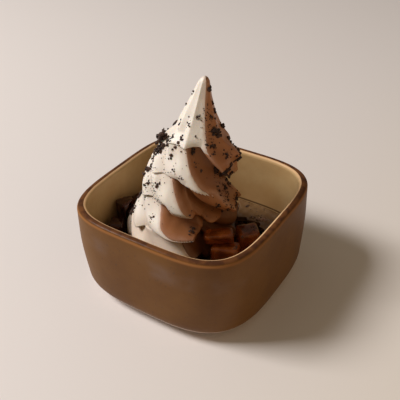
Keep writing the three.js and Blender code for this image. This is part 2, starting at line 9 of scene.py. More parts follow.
import bmesh
import bpy
import numpy as np
from mathutils import Matrix, Vector
from mathutils.bvhtree import BVHTree


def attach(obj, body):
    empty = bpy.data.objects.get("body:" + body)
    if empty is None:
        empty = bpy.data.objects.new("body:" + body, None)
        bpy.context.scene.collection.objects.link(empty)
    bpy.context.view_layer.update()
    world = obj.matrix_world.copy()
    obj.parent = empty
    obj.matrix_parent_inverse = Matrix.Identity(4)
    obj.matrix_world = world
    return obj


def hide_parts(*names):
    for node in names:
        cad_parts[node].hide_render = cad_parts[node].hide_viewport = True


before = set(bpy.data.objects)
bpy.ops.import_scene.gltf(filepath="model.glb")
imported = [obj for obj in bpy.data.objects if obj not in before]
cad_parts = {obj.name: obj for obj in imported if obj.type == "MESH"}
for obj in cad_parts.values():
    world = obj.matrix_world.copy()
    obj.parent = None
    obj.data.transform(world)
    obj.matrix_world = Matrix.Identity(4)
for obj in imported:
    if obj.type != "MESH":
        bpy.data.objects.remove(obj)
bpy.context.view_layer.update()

MM = 0.001
DEG = math.pi / 180
SEED = 11

# ---- sizes, in millimetres and degrees --------------------------------------------------------
BOWL = {
    "half": 50,
    "height": 51,
    "belly": 0.35,
    "wall": 4.5,
    "floor": 5,
    "foot_height": 1.6,
    "foot_half": 40.5,
    "foot_step": 0.6,
    "foot_round": 0.3,
    "heel_radius": 8.5,
    "cove_radius": 9,
    "lip_radius": 2.25,
    "square_top": 4.0,
    "square_foot": 3.3,
    "square_inside": 4.2,
    "square_by": 0.7,  # the share of the height from which the outline is as square as at the top
    "columns": 240,
}
BOWL_ROWS = {"heel": 10, "wall": 13, "lip": 19, "inside": 8, "cove": 9}
# Places along the section, from under the foot over the lip to the floor inside.
ALONG = {"foot": 0.3, "heel": 0.6, "wall": 1, "lip": 2.6, "inside": 4.2, "cove": 5.2, "floor": 6.2}

# Everything in the bowl is laid out on axes turned by this from the bowl's own.
FACE_TURN = 33.4 * DEG

SWIRL = {
    "top": 112.6,
    "bottom": 15.3,
    "columns": 63,
    "rows": 5,
    "first_fold": -5,
    "last_fold": 4,
    "fold_height": 14.6,
    "first_lip": 82.3,  # height of the highest lip on its level stretch
    "starts": 2,  # folds that a lip drops in one turn
    "drop_from": 284,
    "drop_over": 110,
    "drop_power": 1.05,
    "pleats": 9,
    "vanilla_pleats": 4,
    "edge": 249,  # the pleat that parts the flavours under the first lip
    "seam_columns": 37,  # from the seam of the skin to that edge
    "overhang": 0.4,
    "overhang_from": 6,  # above the foot
}
COLUMN_ANGLE = 360 / SWIRL["columns"]
PLEAT_ANGLE = 360 / SWIRL["pleats"]
SEAM = SWIRL["edge"] - SWIRL["seam_columns"] * COLUMN_ANGLE
TWIST = COLUMN_ANGLE * SWIRL["rows"] / SWIRL["fold_height"]
FINE = 6  # cells of this mesh along each cell of the CAD skin
FOOT_NEAR = 0.2  # a row this close to the foot has reached it

# The second lip drops sooner and slower than the others, by these degrees.
EARLY_DROP = {"fold": 1.03, "folds": 0.75, "sooner": 24, "slower": 15}
# The second and third lips hang lower in front. Here and below, what holds on one side of the
# swirl comes in over so many degrees from one angle and fades over so many from another.
LIP_SAGS = [
    {"fold": 1, "depth": 2.0, "from": 248, "over": 14, "until": 275, "fade": 40},
    {"fold": 2, "depth": 3.6, "from": 238, "over": 14, "until": 290, "fade": 40},
]
# Height and radius over the ridges, from the foot to the tip.
PROFILE = np.array([
    [15.3, 29.5], [22, 33], [30, 33], [36, 31.2], [40, 29.6], [47, 26.3], [55, 24], [65.6, 22.6],
    [72, 19.6], [78, 17.2], [82, 15.5], [88, 11.7], [95, 7.9], [103, 4.8], [107.5, 3.5],
    [110.2, 2.6], [111.6, 1.7], [112.4, 0.8], [112.6, 0],
])
# Where the swirl's axis stands at its foot and at its tip, and how it bends.
AXIS_FOOT = -4
AXIS_TIP = 6.2
AXIS_BEND = {"from": 40, "power": 1.3}
# On one side the foot is tucked in, where it stands on blocks of jelly.
TUCK = {
    "share": 0.42, "at": 315, "spread": 52, "below": 38.5, "higher": 5, "from": 280, "across": 15,
    "over": 3,
}
# Where the swirl bulges: share of the radius, angle, spread in degrees, height, spread in mm.
LOBES = [(0.12, 350, 38, 51, 8), (0.28, 343, 34, 75.5, 6)]
# The peak is narrower on the left, from below a height down to a shoulder.
WAIST_SIDE = {"from": 80, "over": 40, "until": 230, "fade": 18}
WAIST = {"share": 0.22, "below": 97, "over": 12, "shoulder": 82.6, "step": 4}

# Depths are shares of the radius.
FULL_RADIUS = 0.99
PLEAT_DEPTH = 0.14
PEAK_DEPTH = 0.08
PEAK_PLEATS = {"from": 76, "over": 10}  # the height where the pleats become those of the peak
RIDGE_ROUND = 0.12
# At the top of a fold the pleats go on from those of the fold above it, left of its own edge.
PLEATS_JOIN = {"part": 0.7, "left": -0.9, "across": 0.6}
# The hollow right of the flavour edge, where the pleats are flatter.
HOLLOW = {
    "depth": 0.2, "deeper": 1.5, "rise": 0.32, "rise_power": 0.8, "fall": 1.6, "fall_power": 1.5,
    "flatter": 0.8, "flat_from": 0.3,
}
HOLLOW_FADE = {"share": 0.6, "from": 0.6, "over": 0.4}
FRONT = {"from": 240, "over": 30, "until": 345, "fade": 50}
RECESS = {"depth": 0.19, "part": 0.6}  # under each lip
MOST_DEPTH = (0.24, 0.31)  # softly, in most folds and in the deeper one
MOST_SOFT = 0.1
DEEP_FOLD = 2
# The soft serve materials paint shade into the hollows by this measure of cavity.
CAVITY_DEPTH = 0.25  # what counts as a whole cavity in the materials
SEAM_FADE = 60  # degrees over which the first folds' lips grow
LIP_LEFT = 0.2  # how strong the lips are left of the flavour edge
LIP_RIGHT = {"far": -3.85, "across": 0.3}  # past the vanilla's other edge they are whole
LEAF_LIP = {"left": -1.6, "across": 1.2, "from": 215, "over": 25}
LEAF_UNDER = {"depth": 0.08, "reach": 7, "from": 255, "over": 8, "until": 300, "fade": 25}
LIP_ROLL = {"depth": 0.07, "from": 0.7, "power": 1.6}
LIP_SWELL = {"depth": 0.055, "at": 0.68, "spread": 0.24}
# Where the ridges of the vanilla lie, in pleats right of the flavour edge, high and low down.
HIGH_RIDGES = np.array([-28, -20, -12, 0]) / 7
LOW_RIDGES = np.array([-28, -18, -8, 0]) / 7
LOW_RIDGES_FROM = 2
VALLEY_AT = 0.22  # across a pleat of the vanilla, from its left
VALLEY_POWER = 1.1

# The flavour edge curls to the right low in a fold: pleats, height where it starts, mm it takes.
LEAF_CURL = {0: (0.3, 67.5, 7), 1: (0.06, 54, 5), 2: (0.62, 46, 8)}
CURL_WIDTH = 0.8  # pleats to each side that the curl still shifts
# From this fold down the flavours lie further to the right.
LOW_SHIFT = {"fold": 3, "pleats": 1}
# How far below the level of the next lip the leaves of vanilla end.
LEAF_SAG = {-1: 2.5, 0: 2.0, 1: 4.4, 2: 1.0, 3: 1.5, 4: 1.5}
LEAF_SLOPE = {"fold": 0, "from": 268, "rate": 0.14}
LEAVES_FROM = 240  # left of this angle they don't end
NO_END = 99
# A patch of skin is closed by a copy of it nearer the axis, which lies lower in the peak.
BACKING = {"share": 0.3, "lower": 3, "from": 92, "over": 18}

# Groups of crumbs: angle, height, spread in degrees, spread in mm, number, largest size, and for
# those that lie in heaps, how high.
CRUMB_GROUPS = [
    # the pile on the left shoulder and what ran down from it
    (165, 80, 9, 2.4, 44, 1.8, 2.6), (180, 80, 12, 3, 60, 1.8, 2.6), (205, 83, 12, 3, 30, 1.6),
    (192, 77, 9, 2.6, 44, 1.8, 1), (234, 84, 7, 2, 16, 1.2), (226, 81, 4, 1.5, 9, 1.1),
    (226, 77, 5, 1.6, 16, 1.3), (192, 72, 9, 3, 22, 1.2), (194, 67, 6, 2.6, 16, 1.1),
    (180, 63, 6, 2.6, 26, 1.5, 0.8), (176, 70, 7, 4, 22, 1.3, 0.8), (194, 58, 4, 2, 16, 1.3),
    (221, 63, 4, 1.6, 12, 1.1), (180, 48, 5, 3, 24, 1.4, 0.6), (200, 52, 5, 2.2, 12, 1.1),
    (182, 39, 5, 3, 34, 1.5, 0.6), (184, 33, 4, 2, 20, 1.3), (193, 44, 5, 2.8, 14, 1.1),
    (224, 46, 4, 2.2, 10, 0.9), (242, 73, 8, 2.8, 8, 0.9), (253, 71, 4, 1.3, 9, 0.9),
    (210, 60, 34, 22, 110, 0.55), (250, 62, 14, 26, 26, 0.5),
    # the peak
    (267, 88, 2, 0.4, 2, 1.3), (268, 95, 10, 1.8, 16, 1.0), (180, 104, 12, 1.5, 5, 1.0),
    (172, 98, 8, 1.5, 6, 0.9), (242, 92, 16, 3, 9, 0.8), (200, 90, 12, 4, 10, 0.8),
    (325, 107, 22, 1.6, 20, 1.3), (340, 100, 11, 1.3, 8, 1.1), (350, 95, 7, 1.4, 12, 1.2),
    (320, 94, 16, 2.8, 14, 1.0), (2, 87, 8, 2, 22, 1.5), (321, 88, 13, 3, 44, 1.5),
    (356, 80, 8, 2, 16, 1.3), (303, 82, 12, 3.2, 44, 0.9), (350, 75, 14, 2.4, 34, 1.4),
    (289, 85, 4, 1.1, 5, 0.9), (300, 92, 26, 12, 60, 0.55),
    # the folds on the right
    (327, 77, 9, 3, 20, 1.1), (352, 71, 9, 2.6, 60, 1.7), (335, 70, 5, 2, 18, 1.3),
    (322, 67, 9, 3.4, 70, 1.7), (338, 62, 7, 2.6, 34, 1.4), (268, 78, 5, 1.6, 22, 1.4),
    (285, 70, 2, 0.9, 3, 1.5), (277, 73, 6, 2.2, 6, 0.9), (305, 54, 4, 1.8, 14, 1.2),
    (321, 52, 5, 2, 18, 1.3), (333, 54, 9, 3.4, 30, 1.1), (350, 46, 9, 4, 34, 1.1),
    (350, 54, 9, 3, 24, 1.1), (314, 58, 5, 2.2, 10, 0.9), (329, 42, 8, 3, 34, 1.1),
    (276, 40, 5, 2.4, 20, 1.1), (273, 52, 2, 0.7, 3, 1.0), (320, 56, 30, 14, 110, 0.5),
    # behind
    (60, 84, 30, 12, 50, 1.3), (120, 62, 30, 16, 70, 1.3), (20, 55, 24, 12, 50, 1.2),
    (90, 38, 34, 10, 50, 1.0), (130, 84, 18, 5, 60, 1.6),
]
# Groups of crumbs on the jelly: place on the turned axes, spread each way, number, largest size.
JELLY_CRUMBS = [
    (33, 18, 5, 2, 26, 0.8), (36, 26, 6, 5, 14, 0.6), (30, 29, 2, 4, 14, 0.9),
    (8, -33, 6, 3, 26, 1.1), (2, -36, 5, 2, 20, 1.0), (20, -24, 5, 5, 12, 0.9),
    (26, -14, 6, 5, 14, 0.9), (30, -20, 6, 6, 10, 0.7), (-32, -8, 5, 10, 16, 0.8),
]
PALE_CRUMBS = [
    (36, 15.6, 5.5, 1.3, 60, 1.1), (31.5, 18, 1.5, 1.2, 16, 0.9), (9, -33, 5, 3, 14, 0.8),
]
CRUMB_SMALL = 0.22
SWIRL_CRUMB_SIZE = 0.8  # radius for each unit of the sizes above
JELLY_CRUMB_SIZE = 0.72
CRUMB_RAISED = 0.25  # share of its radius that a crumb's centre stands out
CRUMB_SLANT = 0.4  # how much upward it does
HEAP_POWER = 1.5
CRUMB_STRETCH = (0.55, 1.1)
CRUMB_LUMPS = {"spread": 0.2, "most": 0.4}
DROP_FROM = 45
HALVINGS = 30  # in the search for the fold at a height

JELLY = {"voxel": 0.45, "rounds": 2, "factor": 0.6, "ripple": 0.1, "phase": 1.3}
JELLY_WAVES = np.array([[900, 500, 300], [-400, 800, 600]])
JELLY_BLOCKS = [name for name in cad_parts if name.startswith("jelly_")]

FLOOR_HALF = 3000
# Name, place and size of each lamp, its power and its colour.
LAMPS = [
    ("key", (-1130, 90, 1190), 0.54, 28, (1.0, 0.97, 0.955)),
    ("warm_fill", (520, -420, 420), 0.7, 0.6, (1.0, 0.62, 0.25)),
]
LAMPS_AIM = (0, 0, 50)
WORLD = {"colour": (1.0, 0.85, 0.66, 1), "strength": 0.19}
CAMERA = {
    "elevation": 35.04,
    "roll": 1.342,
    "target": (2.61, 0, 44.385),
    "distance": 311.2,
    "focal_pixels": 603.965,
    "pixels": 400,
    "sensor": 36,
}

# ---- colours, linear --------------------------------------------------------------------------
# The hollow colour is painted shade in the hollows, the tint lies along the flavour edge, and the
# wet colour, low down near the coffee, is partly a coffee stain and partly painted shade.
VANILLA = {
    "light": (0.80, 0.74, 0.66),
    "deep": (0.74, 0.67, 0.58),
    # painted shade in the hollows
    "hollow": (0.50, 0.37, 0.27),
    "tint": (0.50, 0.28, 0.18),
    "tint_share": 0.45,
    # low down: partly a coffee stain, partly painted shade
    "wet": (0.62, 0.40, 0.24),
    "stain_and_shade_share": 0.3,
}
CHOCOLATE = {
    "light": (0.42, 0.175, 0.07),
    "deep": (0.33, 0.115, 0.04),
    # painted shade in the hollows
    "hollow": (0.22, 0.08, 0.022),
    "tint": (0.55, 0.36, 0.28),
    "tint_share": 0.35,
    # low down: partly a coffee stain, partly painted shade
    "wet": (0.13, 0.042, 0.012),
    "stain_and_shade_share": 0.8,
}
# Shade painted into the hollows: where it starts, where it is full, and its share.
PAINTED_HOLLOW_SHADE = {"from": 0.1, "full": 1.1, "share": 0.75}
EDGE_TINT_MM = {"full": 0.9, "gone": 3.4, "wander": 2.2}
# Darker low down near the coffee: partly a coffee stain, partly painted shade.
LOW_STAIN_AND_SHADE = {"full": 36 * MM, "gone": 50 * MM, "wander": 6 * MM}

GLAZE = {
    "outside": ((0.128, 0.047, 0.004), (0.165, 0.068, 0.01)),
    "inside": ((0.52, 0.355, 0.17), (0.42, 0.255, 0.105)),
    "lip": ((0.06, 0.018, 0.004), (0.13, 0.045, 0.01)),
    "foot": (0.55, 0.42, 0.34),
    "speck": (0.06, 0.03, 0.015),
    # painted sheen: a reflection of light high on the outside
    "sheen_streak": (0.2, 0.15, 0.14),
    # painted highlight along the outer edge of the lip
    "rim_glint": (0.34, 0.14, 0.045),
    "pale_line": (0.66, 0.42, 0.22),
    # painted shade, low on the inside wall
    "low_inside_shade": (0.33, 0.17, 0.06),
    "stain": (0.05, 0.018, 0.006),
}
# Where each of these starts and is whole and, if it ends, where it begins to fade and is gone:
# along the section, and the last two by height.
GLAZE_AT = {
    "outside": (0.88, 0.91),
    "sheen_streak": (1.9, 2.15, 2.25, 2.5),
    "rim_glint": (2.55, 2.75, 2.85, 3.0),
    "lip": (2.9, 3.1),
    "pale_line": (3.56, 3.64),
    "inside": (3.74, 3.95),
    "low_inside_shade": (20 * MM, 42 * MM),
    "stain": (18.6 * MM, 19.2 * MM, 19.7 * MM, 20.3 * MM),
}
INSIDE_ONLY = {"low_inside_shade": (4.1, 4.3), "stain": (4.3, 4.4)}
GLAZE_ROUGH = {"outside": 0.5, "lip": 0.85, "inside": 0.35, "cloudy": 0.12}
GLAZE_ROUGH_AT = {"lip": (2.5, 2.8), "inside": (3.7, 4.2)}

# Where it is thin, where it is thick, and how clear it is. The dark copy is painted shade for the
# blocks in shade, the pale one a painted sheen on the slab.
JELLY_LOOKS = {
    "coffee_jelly": ((0.5, 0.13, 0.022), (0.18, 0.036, 0.01), 0.6),
    "coffee_jelly_painted_shade": ((0.09, 0.02, 0.008), (0.03, 0.007, 0.003), 0.45),
    "coffee_jelly_painted_sheen": ((0.17, 0.095, 0.04), (0.13, 0.066, 0.026), 0.1),
}
COFFEE = {"dark": (0.022, 0.008, 0.004), "light": (0.05, 0.018, 0.008), "foam": (0.24, 0.13, 0.07)}
COOKIE = {
    "dark": (0.018, 0.007, 0.004),
    "light": (0.07, 0.028, 0.014),
    "spot": (0.03, 0.012, 0.008),
}
PALE_CRUMB = {"light": (0.42, 0.27, 0.2), "dark": (0.2, 0.1, 0.07)}
# The warm colour is warm light painted onto the floor.
FLOOR = {"cool": (0.725, 0.68, 0.66), "warm_light": (0.71, 0.64, 0.54), "cloud": (0.9, 0.88, 0.86)}
# Warm light painted onto the floor: it gets warmer to the near right, between these distances in
# metres.
FLOOR_WARM_LIGHT = {"towards": (1, -0.7, 0), "from": -0.05, "full": 0.35}

random = np.random.default_rng(SEED)


# ---- helpers ----------------------------------------------------------------------------------
def smooth(t):
    t = np.clip(t, 0, 1)
    return t * t * (3 - 2 * t)


def rising(x, start, over):
    return smooth((x - start) / over)


def between(x, side):
    return rising(x, side["from"], side["over"]) * (1 - rising(x, side["until"], side["fade"]))


def mix(a, b, t):
    return a + (b - a) * t


def turned(x, y, z):
    c, s = math.cos(FACE_TURN), math.sin(FACE_TURN)
    return np.stack(np.broadcast_arrays(x * c - y * s, x * s + y * c, z), axis=-1)


def in_scene(name, data):
    made = bpy.data.objects.new(name, data)
    bpy.context.collection.objects.link(made)
    return made


def shade_smooth(mesh, smoothly=True):
    mesh.polygons.foreach_set("use_smooth", [smoothly] * len(mesh.polygons))


def mesh_object(name, points, faces, attributes=None):
    """A smooth-shaded object from points in mm, triangles or quads, and values for its vertices."""
    mesh = bpy.data.meshes.new(name)
    faces = faces.tolist() if isinstance(faces, np.ndarray) else faces
    mesh.from_pydata((np.asarray(points) * MM).tolist(), [], faces)
    for key, values in (attributes or {}).items():
        layer = mesh.attributes.new(key, "FLOAT", "POINT")
        layer.data.foreach_set("value", np.asarray(values, dtype=np.float32))
    shade_smooth(mesh)
    return in_scene(name, mesh)


def finish_piece(piece, material, slot, *nodes):
    piece.data.materials.clear()
    piece.data.materials.append(material)
    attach(piece, "root")
    if nodes:
        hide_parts(*nodes)
    return piece


# ---- materials --------------------------------------------------------------------------------
class Nodes:
    """A short way to write a node material around one Principled shader."""

    def __init__(self, name, **settings):
        self.material = bpy.data.materials.new(name)
        self.material.use_nodes = True
        self.tree = self.material.node_tree
        self.shader = self.tree.nodes["Principled BSDF"]
        for key, value in settings.items():
            self.shader.inputs[key.replace("_", " ")].default_value = value

    def node(self, kind, inputs=None, **settings):
        made = self.tree.nodes.new(kind)
        for key, value in settings.items():
            setattr(made, key, value)
        for key, value in (inputs or {}).items():
            if isinstance(value, bpy.types.NodeSocket):
                self.tree.links.new(value, made.inputs[key])
            else:
                made.inputs[key].default_value = value
        return made

    def position(self):
        return self.node("ShaderNodeNewGeometry").outputs["Position"]

    def height(self):
        return self.node("ShaderNodeSeparateXYZ", {"Vector": self.position()}).outputs["Z"]

    def attribute(self, name):
        return self.node("ShaderNodeAttribute", attribute_name=name).outputs["Fac"]

    def noise(self, scale, detail=3, roughness=0.5):
        inputs = {"Scale": scale, "Detail": detail, "Roughness": roughness}
        inputs["Vector"] = self.position()
        return self.node("ShaderNodeTexNoise", inputs).outputs["Fac"]

    def step(self, value, low, high, to_low=0.0, to_high=1.0):
        inputs = {"Value": value, 1: low, 2: high, 3: to_low, 4: to_high}
        made = self.node("ShaderNodeMapRange", inputs, interpolation_type="SMOOTHSTEP")
        return made.outputs["Result"]

    def band(self, value, start, whole, until, gone):
        return self.times(self.step(value, start, whole), self.step(value, until, gone, 1.0, 0.0))

    def math(self, operation, a, b):
        return self.node("ShaderNodeMath", {0: a, 1: b}, operation=operation).outputs["Value"]

    def times(self, a, b):
        return self.math("MULTIPLY", a, b)

    def plus(self, a, b):
        return self.math("ADD", a, b)

    def blend(self, factor, a, b):
        made = self.node("ShaderNodeMix", data_type="RGBA", blend_type="MIX")
        for socket, value in zip((made.inputs[0], made.inputs[6], made.inputs[7]), (factor, a, b)):
            if isinstance(value, bpy.types.NodeSocket):
                self.tree.links.new(value, socket)
            else:
                socket.default_value = (*value, 1)
        return made.outputs[2]

    def link(self, value, socket):
        self.tree.links.new(value, self.shader.inputs[socket])

    def bump(self, height, distance, strength):
        inputs = {"Height": height, "Distance": distance, "Strength": strength}
        self.link(self.node("ShaderNodeBump", inputs).outputs["Normal"], "Normal")


def soft_serve_material(name, look):
    """Smooth and faintly icy, with shade painted into the hollows and a tint close to the flavour
    edge, and darker low down near the coffee, partly a coffee stain and partly painted shade."""
    m = Nodes(name, Subsurface_Weight=0.3, Subsurface_Scale=0.001, Coat_Weight=0.08)
    m.shader.inputs["Coat Roughness"].default_value = 0.3
    m.shader.inputs["Subsurface Radius"].default_value = (1.0, 0.7, 0.45)
    m.shader.inputs["Specular IOR Level"].default_value = 0.4
    cloudy = m.step(m.noise(70), 0.35, 0.7)
    body = m.blend(m.times(cloudy, 0.5), look["light"], look["deep"])
    # Painted shade: the deeper in a hollow, the more of the dark hollow colour.
    cavity, tint = m.attribute("cavity"), PAINTED_HOLLOW_SHADE
    hollow = m.step(cavity, tint["from"], tint["full"], 0.0, tint["share"])
    body = m.blend(hollow, body, look["hollow"])
    # Darker low down near the coffee: partly a coffee stain, partly painted shade.
    height = m.plus(m.height(), m.times(m.noise(160), LOW_STAIN_AND_SHADE["wander"]))
    wet = m.step(height, LOW_STAIN_AND_SHADE["full"], LOW_STAIN_AND_SHADE["gone"], look["stain_and_shade_share"], 0.0)
    body = m.blend(wet, body, look["wet"])
    away = m.plus(m.attribute("edge_mm"), m.times(m.noise(260), EDGE_TINT_MM["wander"]))
    near = m.step(away, EDGE_TINT_MM["full"], EDGE_TINT_MM["gone"], look["tint_share"], 0.0)
    m.link(m.blend(near, body, look["tint"]), "Base Color")
    m.link(m.step(m.noise(900, 2), 0.3, 0.7, 0.42, 0.55), "Roughness")
    m.bump(m.noise(1500, 3, 0.6), 0.00012, 0.6)
    return m.material


def bowl_material():
    """Bare clay foot, brown satin glaze outside with a painted sheen high up, a painted highlight
    along the lip's outer edge, a dark band over the lip and cream inside with painted shade low
    down.
    """
    m = Nodes("stoneware_glaze", Coat_Weight=0.08)
    m.shader.inputs["Coat Roughness"].default_value = 0.22
    m.shader.inputs["Specular IOR Level"].default_value = 0.25
    along = m.attribute("along")
    cloudy = m.noise(35, 5, 0.6)
    # The lines over the lip wander a little.
    edge = m.plus(along, m.times(m.math("SUBTRACT", m.noise(120, 4), 0.5), 0.1))
    outside = m.blend(m.step(cloudy, 0.3, 0.7), *GLAZE["outside"])
    inside = m.blend(m.step(cloudy, 0.3, 0.75), *GLAZE["inside"])
    lip = m.blend(m.step(m.noise(200), 0.35, 0.65), *GLAZE["lip"])
    speck = m.step(m.noise(650, 2), 0.62, 0.72)
    outside = m.blend(m.times(speck, 0.35), outside, GLAZE["speck"])
    # A lighter patchy band high on the outside: painted sheen, a reflection of light on the glaze.
    patchy = m.step(m.noise(28), 0.5, 0.66, 0.0, 0.35)
    sheen_streak = m.times(m.band(along, *GLAZE_AT["sheen_streak"]), patchy)
    outside = m.blend(sheen_streak, outside, GLAZE["sheen_streak"])
    glazed = m.blend(m.step(along, *GLAZE_AT["outside"]), GLAZE["foot"], outside)
    # A lighter line where the lip rolls over on the outside: a painted highlight.
    rim_glint = m.times(m.band(edge, *GLAZE_AT["rim_glint"]), 0.6)
    glazed = m.blend(rim_glint, glazed, GLAZE["rim_glint"])
    glazed = m.blend(m.step(edge, *GLAZE_AT["lip"]), glazed, lip)
    glazed = m.blend(m.step(edge, *GLAZE_AT["pale_line"]), glazed, GLAZE["pale_line"])
    glazed = m.blend(m.step(edge, *GLAZE_AT["inside"]), glazed, inside)
    height = m.height()
    # Darker low on the inside wall: painted shade.
    low_inside_shade = m.step(height, *GLAZE_AT["low_inside_shade"], 0.5, 0.0)
    low_inside_shade = m.times(low_inside_shade, m.step(along, *INSIDE_ONLY["low_inside_shade"]))
    glazed = m.blend(low_inside_shade, glazed, GLAZE["low_inside_shade"])
    stain = m.band(height, *GLAZE_AT["stain"])
    stain = m.times(stain, m.step(along, *INSIDE_ONLY["stain"], 0.0, 0.85))
    m.link(m.blend(stain, glazed, GLAZE["stain"]), "Base Color")
    # Dry over the lip, satin outside and glossier inside.
    rough, at = GLAZE_ROUGH, GLAZE_ROUGH_AT
    dry = m.step(along, *at["lip"], rough["outside"], rough["lip"])
    glossy = m.step(along, *at["inside"], 0.0, rough["inside"] - rough["lip"])
    m.link(m.plus(m.plus(dry, glossy), m.times(cloudy, rough["cloudy"])), "Roughness")
    m.bump(m.plus(m.noise(90, 4, 0.6), m.times(m.noise(900, 2), 0.15)), 0.0004, 0.5)
    return m.material


def jelly_material(name, thin, thick, clear):
    """Wet coffee jelly: nearly black where it is thick, amber where light comes through."""
    m = Nodes(name, Roughness=0.1, IOR=1.36, Transmission_Weight=clear, Coat_Weight=0.25)
    m.shader.inputs["Coat Roughness"].default_value = 0.08
    m.link(m.blend(m.step(m.noise(140), 0.35, 0.7), thin, thick), "Base Color")
    m.bump(m.noise(420), 0.0003, 0.5)
    return m.material


def coffee_material():
    m = Nodes("coffee", Roughness=0.08, IOR=1.34, Coat_Weight=0.4)
    foam = m.step(m.noise(260, 5, 0.65), 0.56, 0.66)
    colour = m.blend(m.noise(60), COFFEE["dark"], COFFEE["light"])
    m.link(m.blend(m.times(foam, 0.35), colour, COFFEE["foam"]), "Base Color")
    m.link(m.step(foam, 0, 1, 0.07, 0.35), "Roughness")
    m.bump(m.noise(300, 4), 0.0004, 0.4)
    return m.material


def pale_crumb_material():
    m = Nodes("pale_crumb", Roughness=0.6)
    colour = m.blend(m.attribute("shade"), PALE_CRUMB["light"], PALE_CRUMB["dark"])
    m.link(colour, "Base Color")
    m.bump(m.noise(3500), 0.0002, 0.8)
    return m.material


def crumb_material():
    m = Nodes("cookie_crumb", Roughness=0.75)
    colour = m.blend(m.attribute("shade"), COOKIE["dark"], COOKIE["light"])
    spotted = m.step(m.noise(1800, 2), 0.4, 0.7, 0, 0.5)
    m.link(m.blend(spotted, colour, COOKIE["spot"]), "Base Color")
    m.bump(m.noise(3500), 0.0002, 0.8)
    return m.material


def floor_material():
    m = Nodes("pale_floor", Roughness=0.6)
    inputs = {0: m.position(), 1: turned(*FLOOR_WARM_LIGHT["towards"])}
    place = m.node("ShaderNodeVectorMath", inputs, operation="DOT_PRODUCT").outputs["Value"]
    # Warm light painted onto the floor, stronger to the near right.
    warm_light = m.step(place, FLOOR_WARM_LIGHT["from"], FLOOR_WARM_LIGHT["full"])
    colour = m.blend(warm_light, FLOOR["cool"], FLOOR["warm_light"])
    colour = m.blend(m.times(m.noise(3, 2), 0.06), colour, FLOOR["cloud"])
    m.link(colour, "Base Color")
    m.bump(m.noise(500, 2), 0.0001, 0.2)
    return m.material


# ---- bowl -------------------------------------------------------------------------------------
def square_ring(half, z, exponent):
    angle = np.arange(BOWL["columns"]) / BOWL["columns"] * 2 * math.pi
    c, s = np.cos(angle), np.sin(angle)
    r = half * (np.abs(c) ** exponent + np.abs(s) ** exponent) ** (-1 / exponent)
    return np.stack([r * c, r * s, np.full_like(r, z)], axis=-1)


def bowl_profile():
    """Half width, height, squareness and a place along the section from foot to inner floor."""
    b = BOWL
    inside = b["half"] - b["wall"]

    def outer(z):
        return b["half"] + b["belly"] * math.sin(math.pi * z / b["height"])

    def square(z):
        by = b["square_by"] * b["height"]
        return mix(b["square_foot"], b["square_top"], float(smooth(z / by)))

    def on_the_way(key):
        return np.linspace(0, 1, BOWL_ROWS[key])[1:-1]

    rows = [
        (b["foot_half"] - b["foot_round"], 0, b["square_foot"], 0),
        (b["foot_half"], b["foot_round"], b["square_foot"], ALONG["foot"] / 3),
        (b["foot_half"], b["foot_height"], b["square_foot"], ALONG["foot"]),
    ]
    for share in np.linspace(0, 1, BOWL_ROWS["heel"]):
        c, s = math.cos(share * math.pi / 2), math.sin(share * math.pi / 2)
        z = b["foot_height"] + b["heel_radius"] * (1 - c)
        half = max(outer(z) - b["heel_radius"] * (1 - s), b["foot_half"] + b["foot_step"] * s)
        rows.append((half, z, square(z), mix(ALONG["heel"], ALONG["wall"], share)))
    straight = b["height"] - b["lip_radius"]
    low = b["foot_height"] + b["heel_radius"]
    for share in on_the_way("wall"):
        z = mix(low, straight, share)
        rows.append((outer(z), z, square(z), mix(ALONG["wall"], ALONG["lip"], share)))
    middle = mix(outer(straight), inside, 0.5)
    for share in np.linspace(0, 1, BOWL_ROWS["lip"]):
        half = middle + (outer(straight) - inside) / 2 * math.cos(share * math.pi)
        z = straight + b["lip_radius"] * math.sin(share * math.pi)
        exponent = mix(b["square_top"], b["square_inside"], share)
        rows.append((half, z, exponent, mix(ALONG["lip"], ALONG["inside"], share)))
    bottom = b["floor"] + b["cove_radius"]
    for share in on_the_way("inside"):
        z = mix(straight, bottom, share)
        rows.append((inside, z, b["square_inside"], mix(ALONG["inside"], ALONG["cove"], share)))
    for share in np.linspace(0, 1, BOWL_ROWS["cove"]):
        c, s = math.cos(share * math.pi / 2), math.sin(share * math.pi / 2)
        half = inside - b["cove_radius"] * (1 - c)
        z = b["floor"] + b["cove_radius"] * (1 - s)
        rows.append((half, z, b["square_inside"], mix(ALONG["cove"], ALONG["floor"], share)))
    return rows


def make_bowl():
    rows = bowl_profile()
    count = BOWL["columns"]
    points = [square_ring(half, z, exponent) for half, z, exponent, _ in rows]
    points.append(np.array([[0, 0, 0], [0, 0, BOWL["floor"]]]))
    along = np.append(np.repeat([row[3] for row in rows], count), [0, ALONG["floor"]])
    column = np.arange(count)
    nearby = (column + 1) % count
    faces = []
    for low in range(0, (len(rows) - 1) * count, count):
        high = low + count
        corners = [low + column, low + nearby, high + nearby, high + column]
        faces += np.stack(corners, axis=-1).tolist()
    foot = len(rows) * count
    top = foot - count
    faces += [[foot, b, a] for a, b in zip(column.tolist(), nearby.tolist())]
    faces += [[foot + 1, top + a, top + b] for a, b in zip(column.tolist(), nearby.tolist())]
    piece = mesh_object("glazed_bowl", np.concatenate(points), faces, {"along": along})
    finish_piece(piece, bowl_material(), "bowl_glaze", "bowl")


# ---- swirl ------------------------------------------------------------------------------------
def lip_drop(angle, fold):
    near = np.exp(-(((fold - EARLY_DROP["fold"]) / EARLY_DROP["folds"]) ** 2))
    over = SWIRL["drop_over"] + EARLY_DROP["slower"] * near
    share = np.clip((angle + EARLY_DROP["sooner"] * near - SWIRL["drop_from"]) / over, 0, 1)
    return np.sin(math.pi / 2 * share) ** SWIRL["drop_power"]


